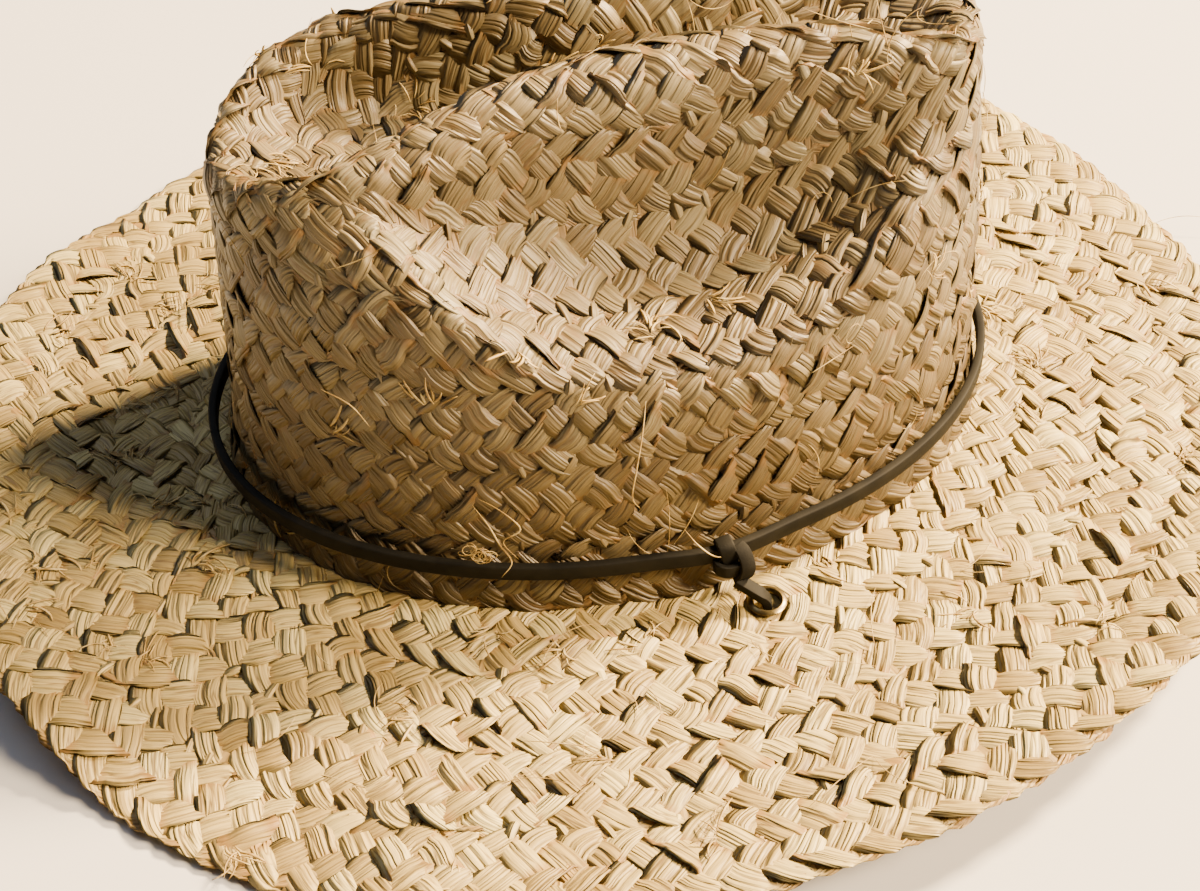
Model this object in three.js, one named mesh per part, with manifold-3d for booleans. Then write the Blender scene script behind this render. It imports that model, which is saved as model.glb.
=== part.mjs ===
// Raffia lifeguard hat, at rest on a flat surface.
// Millimetres, +Z up, the origin on that surface under the middle of the hat.
// The front of the hat points to -X and the wearer's left is -Y.
// Angles run round the hat from the front: 0 front, 90 left, 180 back, 270 right.

import * as THREE from "three";
import { mergeGeometries, mergeVertices } from "three/addons/utils/BufferGeometryUtils.js";
import Module from "manifold-3d";

const wasm = await Module();
wasm.setup();

// ---- driving dimensions ----

const gap = 0.3; // between pieces that touch
const strawWall = 2.7; // thickness of the sewn raffia braid
const angleStep = 6; // degrees between the sections of crown, brim and band

const baseHeight = 8; // top of the brim where the crown stands on it
const baseHalfLength = 103.5; // crown at its foot, outside
const baseHalfWidth = 78;
const topHalfLength = 96; // crown wall carried up to shoulder height
const topHalfWidth = 69;
const shoulderHeight = 113.5;
const backFlare = 8; // the back wall stands this much steeper than the front
const footFlare = 2.5; // the foot turns out into the brim
const crownLean = 7; // the top of the crown sits a little to the right
const leanHeight = 120;
const tipHalfLength = 28; // straight middle of the braid spiral, in the top crease
const tipHeight = 93.5;

const brimHalfLength = 184;
const brimHalfWidth = 176.5;
const edgeRound = 0.9;

const laceWidth = 4.6;
const laceThickness = 2.3;
const bandHeight = 20.6;
const bandClearance = 1.1; // from the plain wall to the back of the lace
const bandSlack = 3; // the band stands off the crown at the front
const slackReach = 65; // degrees either side of the front
const knotStandoff = 2;

const knotAngle = 97; // where the chin strap is tied to the band
const knotReach = 13; // degrees over which the band lifts for the knot
const knotLength = 5;
const wrapThickness = 1.3;

const eyeletX = 21.5;
const eyeletY = 88;
const eyeletBore = 3.4; // radii
const eyeletBarrel = 3.85;
const eyeletFlange = 4.7;
const eyeletRim = 0.8;
const eyeletRoll = 0.35; // thickness of the rolled edge on the underside
const eyeletSeat = 0.15; // more room under a flange, as the brim curves there

// ---- small helpers ----

const toRadians = THREE.MathUtils.degToRad;
const point = (x, y, z) => new THREE.Vector3(x, y, z);
const up = point(0, 0, 1);

function tableRows(columns, rows) {
  return rows.map((row) => Object.fromEntries(columns.map((name, i) => [name, row[i]])));
}

// Slope of a column at its middle row, level where that row is a crest or a hollow.
function slope(name, before, row, after) {
  const turns = (after[name] - row[name]) * (row[name] - before[name]) <= 0;
  return turns ? 0 : (after[name] - before[name]) / (after.angle - before.angle);
}

// Smooth closed interpolation between table rows, by their angle column.
function rowAt(rows, angle) {
  const turn = ((angle % 360) + 360) % 360;
  const count = rows.length;
  const wrapped = (i) => {
    const row = rows[((i % count) + count) % count];
    return { ...row, angle: row.angle + 360 * Math.floor(i / count) };
  };
  let i = -1;
  while (wrapped(i + 1).angle <= turn) i += 1;
  const [before, from, to, after] = [wrapped(i - 1), wrapped(i), wrapped(i + 1), wrapped(i + 2)];
  const span = to.angle - from.angle;
  const t = (turn - from.angle) / span;
  const result = {};
  for (const name of Object.keys(from)) {
    if (name === "angle") continue;
    const slopeFrom = span * slope(name, before, from, to);
    const slopeTo = span * slope(name, from, to, after);
    result[name] =
      (2 * t ** 3 - 3 * t ** 2 + 1) * from[name] +
      (t ** 3 - 2 * t ** 2 + t) * slopeFrom +
      (3 * t ** 2 - 2 * t ** 3) * to[name] +
      (t ** 3 - t ** 2) * slopeTo;
  }
  return result;
}

// A curve that rounds every corner of its control polygon.
function roundedCurve(corners, stepsPerCorner) {
  const points = [corners[0].clone()];
  for (let i = 1; i < corners.length - 1; i += 1) {
    const start = i === 1 ? corners[0] : corners[i - 1].clone().lerp(corners[i], 0.5);
    const last = i === corners.length - 2;
    const end = last ? corners[i + 1] : corners[i].clone().lerp(corners[i + 1], 0.5);
    const bend = new THREE.QuadraticBezierCurve3(start, corners[i], end);
    points.push(...bend.getPoints(stepsPerCorner).slice(1));
  }
  return points;
}

// A closed solid from one outline for each angle. Outline points are joined round the
// outline and from angle to angle. An open joint is left after the point openAfter.
function ringSolid(outlines, openAfter = -1) {
  const size = outlines[0].length;
  const positions = outlines.flat().flatMap((p) => [p.x, p.y, p.z]);
  const index = [];
  outlines.forEach((_, j) => {
    const here = j * size;
    const next = ((j + 1) % outlines.length) * size;
    for (let i = 0; i < size; i += 1) {
      if (i === openAfter) continue;
      const k = (i + 1) % size;
      index.push(here + i, next + i, here + k, here + k, next + i, next + k);
    }
  });
  const geometry = new THREE.BufferGeometry();
  geometry.setAttribute("position", new THREE.Float32BufferAttribute(positions, 3));
  geometry.setIndex(index);
  return mergeVertices(geometry, 1e-4);
}

function toSolid(geometry) {
  const bare = geometry.clone();
  bare.deleteAttribute("normal");
  bare.deleteAttribute("uv");
  const merged = mergeVertices(bare, 1e-4);
  const vertProperties = new Float32Array(merged.attributes.position.array);
  const triVerts = new Uint32Array(merged.index.array);
  return new wasm.Manifold(new wasm.Mesh({ numProp: 3, vertProperties, triVerts }));
}

function fromSolid(solid) {
  const mesh = solid.getMesh();
  const geometry = new THREE.BufferGeometry();
  geometry.setAttribute("position", new THREE.BufferAttribute(mesh.vertProperties, 3));
  geometry.setIndex(new THREE.BufferAttribute(mesh.triVerts, 1));
  return geometry;
}

const angles = [];
for (let angle = 0; angle < 360; angle += angleStep) angles.push(angle);

// ---- crown ----

// One row for each section round the left half; the right half mirrors it.
// The wall rises to a lip, a side dent runs in from the lip to its hollow, and from there
// the crown climbs to the ridge, which rolls over into the lengthwise crease.
const leftSections = tableRows(
  ["angle", "lip", "lipRound", "hollow", "ridgeX", "ridgeY", "ridge", "crease", "roll", "dentReach"],
  [
    [0, 71.5, 20, 89.5, -95, 0, 102.5, 100.5, 4, 4],
    [24, 77.5, 20, 93.5, -90, 18, 107.5, 99.5, 6, 6],
    [42, 88, 18, 104, -80, 27, 112.5, 98.5, 8, 9],
    [50, 92, 16, 106, -71, 29, 115.5, 97.5, 10, 13],
    [57, 95, 16, 107, -62, 28, 118.5, 96.5, 11, 14],
    [61, 95, 14, 101, -55.5, 26.5, 120.2, 96, 11.5, 16],
    [65, 91, 13, 93.5, -48.5, 24.7, 121.7, 95.5, 12, 18],
    [70, 84, 13, 88.5, -39, 22.5, 123.5, 95.5, 13, 20],
    [78, 75.5, 13, 82.5, -23, 19.5, 125.5, 95.5, 13, 18],
    [90, 73, 14, 77.5, 1, 17, 127, 95.5, 13, 14],
    [105, 72.5, 15, 78.5, 29, 16, 127.5, 96.5, 13, 13],
    [115, 75.5, 17, 84.5, 48, 17, 127.5, 98.5, 13, 13],
    [124, 81.5, 18, 93.5, 65, 20, 126.5, 101.5, 12, 13],
    [132, 89.5, 20, 100.5, 78, 25, 124.5, 104.5, 10, 11],
    [142, 91.5, 20, 101.5, 90, 27, 122, 107.5, 8, 9],
    [158, 81.5, 20, 95.5, 98, 19, 119.5, 110.5, 6, 6],
    [180, 75.5, 20, 93.5, 101, 0, 117.5, 111.5, 4, 4],
  ],
);
const rightSections = leftSections
  .slice(1, -1)
  .reverse()
  .map((row) => ({ ...row, angle: 360 - row.angle, ridgeY: -row.ridgeY }));
const crownSections = [...leftSections, ...rightSections];
const crownStepsPerCorner = 2;
const smoothingPasses = 3;

// The plain oval wall of the crown, before its dents.
function crownWall(angle, height) {
  const rise = (height - baseHeight) / (shoulderHeight - baseHeight);
  const along = -Math.cos(toRadians(angle));
  const across = -Math.sin(toRadians(angle));
  const length = baseHalfLength + (topHalfLength - baseHalfLength) * rise;
  const width = baseHalfWidth + (topHalfWidth - baseHalfWidth) * rise;
  const flare = backFlare * rise * Math.max(along, 0) ** 2;
  return point(length * along + flare, width * across, height);
}

function crownProfile(angle) {
  const row = rowAt(crownSections, angle);
  const ridge = point(row.ridgeX, -row.ridgeY, row.ridge);
  const lip = crownWall(angle, row.lip);
  const foot = crownWall(angle, baseHeight + gap);
  const outward = point(lip.x - ridge.x, lip.y - ridge.y, 0);
  const span = outward.length();
  outward.normalize();
  const out = (distance, share, height) =>
    ridge.clone().addScaledVector(outward, Math.min(distance, span * share)).setZ(height);
  const hollow = out(row.dentReach, 0.7, row.hollow);
  const dent = hollow.clone().sub(lip);
  const shelf = Math.min(0.35, (0.9 * row.lipRound) / Math.hypot(dent.x, dent.y));
  const tip = point(-tipHalfLength * Math.cos(toRadians(angle)), 0, tipHeight);
  const inward = point(tip.x - ridge.x, tip.y - ridge.y, 0);
  const depth = inward.length();
  inward.normalize();
  const into = (distance, share, height) =>
    ridge.clone().addScaledVector(inward, Math.min(distance, depth * share)).setZ(height);
  const corners = [
    foot.clone().add(point(foot.x, foot.y, 0).setLength(footFlare)),
    crownWall(angle, baseHeight + 5),
    crownWall(angle, baseHeight + (row.lip - baseHeight) * 0.4),
    crownWall(angle, row.lip - row.lipRound),
    lip,
    lip.clone().addScaledVector(dent, shelf),
    hollow,
    out(row.roll * 0.9, 0.6, Math.max(row.ridge - row.roll * 1.5 - 2, row.hollow + 2)),
    out(row.roll * 0.95, 0.6, row.ridge - row.roll * 0.3),
    out(row.roll * 0.2, 0.3, row.ridge + 2),
    into(8, 0.35, row.ridge),
    into(14, 0.62, row.crease + 1),
    ridge.clone().lerp(tip, 0.7).setZ((row.crease + tipHeight) / 2 - 1),
    tip,
  ];
  for (const corner of corners) {
    corner.y += crownLean * ((corner.z - baseHeight) / leanHeight) ** 1.5;
  }
  return roundedCurve(corners, crownStepsPerCorner);
}

// Direction out of a grid of surface points, at section j and point i.
function gridNormal(grid, j, i) {
  const count = grid.length;
  const last = grid[0].length - 1;
  const side = grid[(j + 1) % count][i].clone().sub(grid[(j + count - 1) % count][i]);
  const rise = grid[j][Math.min(i + 1, last)].clone().sub(grid[j][Math.max(i - 1, 0)]);
  return side.cross(rise).normalize();
}

// The wall's inner side is offset along directions that are evened out, so that it
// does not cross itself in the folds.
function wallDirections(grid) {
  let directions = grid.map((profile, j) => profile.map((_, i) => gridNormal(grid, j, i)));
  for (let pass = 0; pass < smoothingPasses; pass += 1) {
    directions = directions.map((row, j) =>
      row.map((direction, i) => {
        const before = directions[(j + grid.length - 1) % grid.length][i];
        const after = directions[(j + 1) % grid.length][i];
        const below = row[Math.max(i - 1, 0)];
        const above = row[Math.min(i + 1, row.length - 1)];
        return direction.clone().add(before).add(after).add(below).add(above).normalize();
      }),
    );
  }
  return directions;
}

function crownGeometry() {
  const outer = angles.map(crownProfile);
  const directions = wallDirections(outer);
  const inner = outer.map((profile, j) =>
    profile.map((p, i) => {
      const direction = directions[j][i].clone();
      if (i === profile.length - 1) direction.copy(up);
      if (i === 0) direction.setZ(0).normalize();
      return p.clone().addScaledVector(direction, -strawWall);
    }),
  );
  const outlines = outer.map((profile, j) => [...profile, ...inner[j].toReversed()]);
  return ringSolid(outlines, outer[0].length - 1);
}

// ---- brim ----

// Height of the middle of the brim's edge above the surface, all round. Where it would
// be lower than the surface allows, the brim lies flat on the surface.
const brimWaves = tableRows(
  ["angle", "lift"],
  [
    [0, 11],
    [27, 10],
    [41, -0.5],
    [49, -0.5],
    [64, 8],
    [90, 12.5],
    [122, 16.5],
    [150, 8.5],
    [173, -0.5],
    [187, -0.5],
    [208, 6],
    [240, 10.5],
    [272, 10],
    [299, -0.5],
    [307, -0.5],
    [325, 9.5],
    [343, 13],
  ],
);
const brimSteps = 6;
const brimInnerStep = 3.5; // the brim reaches this far in under the crown's foot
const brimFlatRoot = 0.04; // share of the brim's width that stays level, under that foot
const brimDip = 0.22; // a lifted stretch of brim first dips beside the crown

// A point of the brim's middle surface, from its inner edge (share 0) to its outer edge.
function brimMiddle(angle, share) {
  const along = -Math.cos(toRadians(angle));
  const across = -Math.sin(toRadians(angle));
  const innerLength = baseHalfLength - brimInnerStep;
  const innerWidth = baseHalfWidth - brimInnerStep;
  const root = baseHeight - strawWall / 2;
  const { lift } = rowAt(brimWaves, angle);
  const reach = Math.max(share - brimFlatRoot, 0) / (1 - brimFlatRoot);
  const bend = reach ** 1.3;
  const height = root * (1 - bend) + lift * bend - brimDip * lift * Math.sin(Math.PI * reach);
  return point(
    (innerLength + (brimHalfLength - edgeRound - innerLength) * share) * along,
    (innerWidth + (brimHalfWidth - edgeRound - innerWidth) * share) * across,
    Math.max(height, strawWall / 2),
  );
}

function brimGeometry() {
  const shares = [0];
  for (let i = 0; i <= brimSteps; i += 1) shares.push(brimFlatRoot + ((1 - brimFlatRoot) * i) / brimSteps);
  const outlines = angles.map((angle) => {
    const middle = shares.map((share) => brimMiddle(angle, share));
    const shifted = (distance) => middle.map((p) => p.clone().addScaledVector(up, distance));
    const edge = middle.at(-1);
    const rim = edge.clone().add(point(edge.x, edge.y, 0).setLength(edgeRound));
    return [...shifted(strawWall / 2).reverse(), ...shifted(-strawWall / 2), rim];
  });
  return ringSolid(outlines);
}

// ---- eyelets ----

// Where an eyelet sits: on the brim's middle surface, square to it. Side is -1 left, 1 right.
function eyeletFrame(side) {
  const angle = (Math.atan2(-side * eyeletY, -eyeletX) * 180) / Math.PI;
  const spots = [];
  for (let turn = -12; turn <= 12; turn += 0.5) {
    for (let share = 0.04; share < 0.3; share += 0.005) spots.push([angle + turn, share]);
  }
  const away = ([a, share]) => {
    const p = brimMiddle(a, share);
    return Math.hypot(p.x - eyeletX, p.y - side * eyeletY);
  };
  const [bestAngle, bestShare] = spots.reduce((best, spot) => (away(spot) < away(best) ? spot : best));
  const centre = brimMiddle(bestAngle, bestShare).setX(eyeletX).setY(side * eyeletY);
  const round = brimMiddle(bestAngle + 1, bestShare).sub(brimMiddle(bestAngle - 1, bestShare));
  const out = brimMiddle(bestAngle, bestShare + 0.02).sub(brimMiddle(bestAngle, bestShare - 0.02));
  const normal = out.cross(round);
  normal.multiplyScalar(Math.sign(normal.z)).normalize();
  return { centre, normal, turn: new THREE.Quaternion().setFromUnitVectors(up, normal) };
}

function standUp(geometry) {
  return geometry.rotateX(Math.PI / 2); // three.js lathes and cylinders stand along Y
}

function eyeletGeometry() {
  const face = strawWall / 2 + gap + eyeletSeat;
  const outline = [
    [eyeletBore, -face - eyeletRoll],
    [eyeletFlange - 0.3, -face - eyeletRoll],
    [eyeletFlange - 0.3, -face],
    [eyeletBarrel, -face],
    [eyeletBarrel, face],
    [eyeletFlange, face],
    [eyeletFlange - 0.2, face + eyeletRim * 0.6],
    [eyeletFlange - 0.8, face + eyeletRim],
    [eyeletBore + 0.3, face + eyeletRim * 0.8],
    [eyeletBore, face + eyeletRim * 0.3],
    [eyeletBore, -face - eyeletRoll],
  ].map(([r, z]) => new THREE.Vector2(r, z));
  return standUp(new THREE.LatheGeometry(outline, 16));
}

// ---- band and knots ----

function bandPoint(angle) {
  const turn = angle > 180 ? 360 - angle : angle;
  const wall = crownWall(angle, bandHeight);
  wall.y += crownLean * ((bandHeight - baseHeight) / leanHeight) ** 1.5;
  const outward = point(wall.x / baseHalfLength ** 2, wall.y / baseHalfWidth ** 2, 0).normalize();
  const slack = turn < slackReach ? bandSlack * Math.cos((turn / slackReach) * (Math.PI / 2)) ** 2 : 0;
  const offKnot = Math.abs(turn - knotAngle);
  const lift = offKnot < knotReach ? knotStandoff * Math.cos((offKnot / knotReach) * (Math.PI / 2)) ** 2 : 0;
  const clearance = bandClearance + laceThickness / 2 + slack + lift;
  return { centre: wall.addScaledVector(outward, clearance), outward };
}

function laceSection(width, thickness) {
  const w = width / 2;
  const t = thickness / 2;
  const cut = 0.45;
  return [
    [-w + cut, -t],
    [w - cut, -t],
    [w, -t + cut],
    [w, t - cut],
    [w - cut, t],
    [-w + cut, t],
    [-w, t - cut],
    [-w, -t + cut],
  ];
}

function bandGeometry() {
  const section = laceSection(laceWidth, laceThickness);
  const outlines = angles.map((angle) => {
    const { centre, outward } = bandPoint(angle);
    return section.map(([high, out]) =>
      centre.clone().addScaledVector(outward, -out).addScaledVector(up, high),
    );
  });
  return ringSolid(outlines);
}

// The strap's end goes once round the band and is caught in a small lump beside the turn.
function knotGeometry(side) {
  const clear = gap + 0.12;
  const halfHeight = laceWidth / 2 + clear + wrapThickness;
  const halfDepth = laceThickness / 2 + clear + wrapThickness;
  const wrap = new THREE.Shape(
    laceSection(2 * halfDepth, 2 * halfHeight).map(([x, y]) => new THREE.Vector2(x, y)),
  );
  const hole = laceSection(laceThickness + 2 * clear, laceWidth + 2 * clear);
  wrap.holes.push(new THREE.Path(hole.map(([x, y]) => new THREE.Vector2(x, y))));
  const sleeve = new THREE.ExtrudeGeometry(wrap, { depth: knotLength, bevelEnabled: false });
  sleeve.translate(0, 0, -knotLength / 2);
  const lump = new THREE.SphereGeometry(1, 12, 8);
  lump.scale(2.3, 2.4, 3.1);
  lump.translate(halfDepth + 0.3, -halfHeight + 1.4, side * 3.6);
  return fromSolid(toSolid(sleeve).add(toSolid(lump)));
}

// ---- chin strap ----

// The strap's route: from the left knot down through its eyelet, then loosely over the
// surface under the hat, and up to the right knot. One row for each point on the surface.
const strapRest = laceThickness / 2 + 0.15;
const strapOnSurface = tableRows(
  ["x", "y"],
  [
    [27, -96],
    [35, -103],
    [50, -109],
    [74, -110],
    [100, -98],
    [118, -72],
    [121, -38],
    [104, -10],
    [72, 3],
    [34, 4],
    [-8, -2],
    [-50, -6],
    [-90, 0],
    [-117, 24],
    [-121, 60],
    [-100, 91],
    [-64, 109],
    [-24, 117],
    [8, 115],
    [25, 107],
    [27, 96],
  ],
);
const tailStart = { along: 1.6, out: 3.9, down: 6.9 }; // from the middle of the knot
const tailLean = { along: -1.5, high: 4.4, mouth: 1.6 }; // on its way down into the eyelet
const turnRadius = 2.8; // the strap's bend under an eyelet
const turnAway = { along: 0.55, out: 0.83 };

function strapEnd(side) {
  const { centre, normal } = eyeletFrame(side);
  const knot = bandPoint(side < 0 ? knotAngle : 360 - knotAngle).centre;
  const tail = knot.clone().add(point(tailStart.along, side * tailStart.out, -tailStart.down));
  const lean = centre.clone().addScaledVector(normal, tailLean.high).add(point(tailLean.along, 0, 0));
  const mouth = centre.clone().addScaledVector(normal, tailLean.mouth);
  const away = point(turnAway.along, side * turnAway.out, 0);
  const turn = [0, 45, 90].map((angle) =>
    centre
      .clone()
      .addScaledVector(away, turnRadius * (1 - Math.cos(toRadians(angle))))
      .setZ(strapRest + turnRadius * (1 - Math.sin(toRadians(angle)))),
  );
  return [tail, lean, mouth, ...turn];
}

function strapRoute() {
  const rest = strapOnSurface.map(({ x, y }) => point(x, y, strapRest));
  return [...strapEnd(-1), ...rest, ...strapEnd(1).reverse()];
}

// A route whose flat lace keeps its width level. Its steps are spaced by its points, so
// they are close together in the tight bends at its ends.
class LevelCurve extends THREE.CatmullRomCurve3 {
  getUtoTmapping(u) {
    return u;
  }

  computeFrenetFrames(segments) {
    const tangents = [];
    const normals = [];
    const binormals = [];
    const level = point(0, 0, 0);
    for (let i = 0; i <= segments; i += 1) {
      const tangent = this.getTangentAt(i / segments);
      const steep = Math.abs(tangent.z) > 0.8;
      if (!steep || i === 0) level.set(-tangent.y, tangent.x, 0).normalize();
      const across = level.clone().addScaledVector(tangent, -level.dot(tangent)).normalize();
      tangents.push(tangent);
      normals.push(across);
      binormals.push(tangent.clone().cross(across));
    }
    return { tangents, normals, binormals };
  }
}

function strapGeometry() {
  const route = new LevelCurve(strapRoute(), false, "centripetal");
  const outline = laceSection(laceWidth, laceThickness).map(([x, y]) => new THREE.Vector2(x, y));
  const steps = 2 * (route.points.length - 1);
  return new THREE.ExtrudeGeometry(new THREE.Shape(outline), { steps, extrudePath: route });
}

// ---- materials ----

const raffia = new THREE.MeshStandardMaterial({ color: "#d8c096", roughness: 0.8, metalness: 0 });
const leather = new THREE.MeshStandardMaterial({ color: "#2f2b24", roughness: 0.6, metalness: 0 });
const brass = new THREE.MeshStandardMaterial({ color: "#8c7a50", roughness: 0.4, metalness: 1 });

// ---- assembly ----

const hat = new THREE.Group();

function add(parent, name, geometry, material) {
  const mesh = new THREE.Mesh(geometry, material);
  mesh.name = name;
  parent.add(mesh);
  return mesh;
}

let brimSolid = toSolid(brimGeometry());
for (const [side, label] of [
  [-1, "left"],
  [1, "right"],
]) {
  const { centre, turn } = eyeletFrame(side);
  const hole = standUp(new THREE.CylinderGeometry(eyeletBarrel + gap, eyeletBarrel + gap, 12, 24));
  hole.applyQuaternion(turn).translate(centre.x, centre.y, centre.z);
  brimSolid = brimSolid.subtract(toSolid(hole));

  const eyelet = add(hat, `eyelet_${label}`, eyeletGeometry(), brass);
  eyelet.position.copy(centre);
  eyelet.quaternion.copy(turn);

  const band = bandPoint(side < 0 ? knotAngle : 360 - knotAngle);
  const knotPlace = new THREE.Group();
  const along = up.clone().cross(band.outward);
  knotPlace.quaternion.setFromRotationMatrix(new THREE.Matrix4().makeBasis(band.outward, up, along.negate()));
  knotPlace.position.copy(band.centre);
  hat.add(knotPlace);
  add(knotPlace, `knot_${label}`, knotGeometry(side), leather);
}

add(hat, "crown", crownGeometry(), raffia);
add(hat, "brim", fromSolid(brimSolid), raffia);
add(hat, "band_lace", bandGeometry(), leather);
add(hat, "chin_strap", strapGeometry(), leather);

export default hat;
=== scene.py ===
# A raffia lifeguard hat: its plaited straw, leather lace and eyelets, built on the fixed frame.
import math

import bpy
import numpy as np
from mathutils import Matrix, Vector


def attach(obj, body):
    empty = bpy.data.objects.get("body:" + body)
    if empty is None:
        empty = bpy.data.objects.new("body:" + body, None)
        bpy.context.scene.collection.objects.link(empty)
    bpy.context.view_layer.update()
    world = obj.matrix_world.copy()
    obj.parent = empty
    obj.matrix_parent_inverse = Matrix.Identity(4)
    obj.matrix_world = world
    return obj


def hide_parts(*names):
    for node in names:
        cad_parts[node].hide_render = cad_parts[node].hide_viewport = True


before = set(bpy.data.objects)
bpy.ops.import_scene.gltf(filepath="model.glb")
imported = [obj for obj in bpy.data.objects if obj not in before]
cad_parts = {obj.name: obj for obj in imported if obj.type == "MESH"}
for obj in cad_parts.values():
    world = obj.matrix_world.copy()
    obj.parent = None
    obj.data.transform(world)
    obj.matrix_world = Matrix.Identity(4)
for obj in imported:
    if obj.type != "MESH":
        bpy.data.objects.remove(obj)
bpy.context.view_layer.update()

mm = 0.001  # shapes are worked out in millimetres and made in metres
random = np.random.default_rng(12)
bpy.ops.object.select_all(action="DESELECT")


# The camera looks at its pivot, a point just above the surface and near the middle of the hat.
camera = {
    "distance": 636,
    "elevation": 43.2,
    "turn": -10.8,  # round to the front of the hat
    "roll": -3.4,
    "pivot": (-2.4, -14.5, 1.5),
    "lens": 68.8,
}


def makeCamera():
    rise, turn, roll = (math.radians(camera[k]) for k in ("elevation", "turn", "roll"))
    back = Vector((0, -math.cos(rise), math.sin(rise)))
    right = Vector((1, 0, 0))
    up = back.cross(right)
    side = right * math.cos(roll) + up * math.sin(roll)
    top = up * math.cos(roll) - right * math.sin(roll)
    place = Vector(camera["pivot"]) + back * camera["distance"]
    matrix = Matrix((side, top, back)).transposed().to_4x4()
    matrix.translation = place * mm
    eye = bpy.data.objects.new("camera", bpy.data.cameras.new("camera"))
    eye.data.lens = camera["lens"]
    eye.data.sensor_width = 36
    eye.matrix_world = Matrix.Rotation(turn, 4, "Z") @ matrix
    bpy.context.scene.collection.objects.link(eye)
    bpy.context.scene.camera = eye


makeCamera()
print("camera made")


def unit(vectors):
    return vectors / np.maximum(np.linalg.norm(vectors, axis=-1, keepdims=True), 1e-9)


# Distance travelled along a run of points, at each of them.
def travel(points):
    return np.concatenate([[0], np.cumsum(np.linalg.norm(np.diff(points, axis=0), axis=1))])


# Height of a curve at t from 0 to 1, which leaves one value and reaches the next at given slopes.
def curveBetween(t, start, leave, end, arrive):
    return (
        (2 * t**3 - 3 * t**2 + 1) * start + (t**3 - 2 * t**2 + t) * leave
        + (3 * t**2 - 2 * t**3) * end + (t**3 - t**2) * arrive
    )


def tableColumns(names, rows):
    return dict(zip(names, np.array(rows, float).T))


# Smooth closed interpolation of a table's columns at many angles, level at crests and hollows.
def columnsAt(table, angles):
    knots = table["angle"]
    count = len(knots)
    turned = np.mod(angles, 360)
    start = np.searchsorted(knots, turned, side="right") - 1
    before, after, last = (start - 1) % count, (start + 1) % count, (start + 2) % count
    here = knots[start]
    nextAngle = knots[after] + np.where(after == 0, 360, 0)
    span = nextAngle - here
    t = (turned - here) / span
    beforeAngle = knots[before] - np.where(start == 0, 360, 0)
    lastAngle = knots[last] + np.where(start + 2 >= count, 360, 0)
    found = {}
    for name, column in table.items():
        if name == "angle":
            continue
        a, b, c, d = column[before], column[start], column[after], column[last]
        slopeB = np.where((c - b) * (b - a) <= 0, 0, (c - a) / (nextAngle - beforeAngle)) * span
        slopeC = np.where((d - c) * (c - b) <= 0, 0, (d - b) / (lastAngle - here)) * span
        found[name] = curveBetween(t, b, slopeB, c, slopeC)
    return found


def newObject(name, vertices, faces):
    mesh = bpy.data.meshes.new(name)
    mesh.from_pydata(np.asarray(vertices) * mm, [], np.asarray(faces).tolist())
    mesh.shade_smooth()
    piece = bpy.data.objects.new(name, mesh)
    bpy.context.scene.collection.objects.link(piece)
    return piece


# The crown's measures are of its outside. The brim's heights are of the middle of its straw.
straw = {
    "wall": 2.7,
    "baseHeight": 8,  # foot of the crown
    "baseHalfLength": 103.5,
    "baseHalfWidth": 78,
    "topHalfLength": 96,
    "topHalfWidth": 69,
    "shoulderHeight": 113.5,
    "backFlare": 8,
    "footFlare": 2.5,
    "lean": 7,  # the crown leans over to its right by this much, at the height that follows
    "leanHeight": 120,
    "tipHalfLength": 28,  # half the straight line that the rows of braid close on, in the crease
    "tipHeight": 93.5,
    "brimHalfLength": 184,
    "brimHalfWidth": 176.5,
    "edgeRound": 0.9,
    "brimInnerStep": 3.5,  # the brim starts this far inside the crown's foot
    "brimFlatRoot": 0.04,  # share of its width before it starts to rise
    "brimDip": 0.22,  # it sags below a straight rise by this share of the edge's height
}

# One row for each section of the left half of the crown, from the front to the back.
sectionNames = (
    "angle", "lip", "lipRound", "hollow", "ridgeX", "ridgeY", "ridge", "crease", "roll", "dentReach",
)
leftSections = [
    (0, 71.5, 20, 89.5, -95, 0, 102.5, 100.5, 4, 4),
    (24, 77.5, 20, 93.5, -90, 18, 107.5, 99.5, 6, 6),
    (42, 88, 18, 104, -80, 27, 112.5, 98.5, 8, 9),
    (50, 92, 16, 106, -71, 29, 115.5, 97.5, 10, 13),
    (57, 95, 16, 107, -62, 28, 118.5, 96.5, 11, 14),
    (61, 95, 14, 101, -55.5, 26.5, 120.2, 96, 11.5, 16),
    (65, 91, 13, 93.5, -48.5, 24.7, 121.7, 95.5, 12, 18),
    (70, 84, 13, 88.5, -39, 22.5, 123.5, 95.5, 13, 20),
    (78, 75.5, 13, 82.5, -23, 19.5, 125.5, 95.5, 13, 18),
    (90, 73, 14, 77.5, 1, 17, 127, 95.5, 13, 14),
    (105, 72.5, 15, 78.5, 29, 16, 127.5, 96.5, 13, 13),
    (115, 75.5, 17, 84.5, 48, 17, 127.5, 98.5, 13, 13),
    (124, 81.5, 18, 93.5, 65, 20, 126.5, 101.5, 12, 13),
    (132, 89.5, 20, 100.5, 78, 25, 124.5, 104.5, 10, 11),
    (142, 91.5, 20, 101.5, 90, 27, 122, 107.5, 8, 9),
    (158, 81.5, 20, 95.5, 98, 19, 119.5, 110.5, 6, 6),
    (180, 75.5, 20, 93.5, 101, 0, 117.5, 111.5, 4, 4),
]
rightSections = [(360 - r[0], *r[1:5], -r[5], *r[6:]) for r in reversed(leftSections[1:-1])]
crownSections = tableColumns(sectionNames, leftSections + rightSections)

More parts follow.
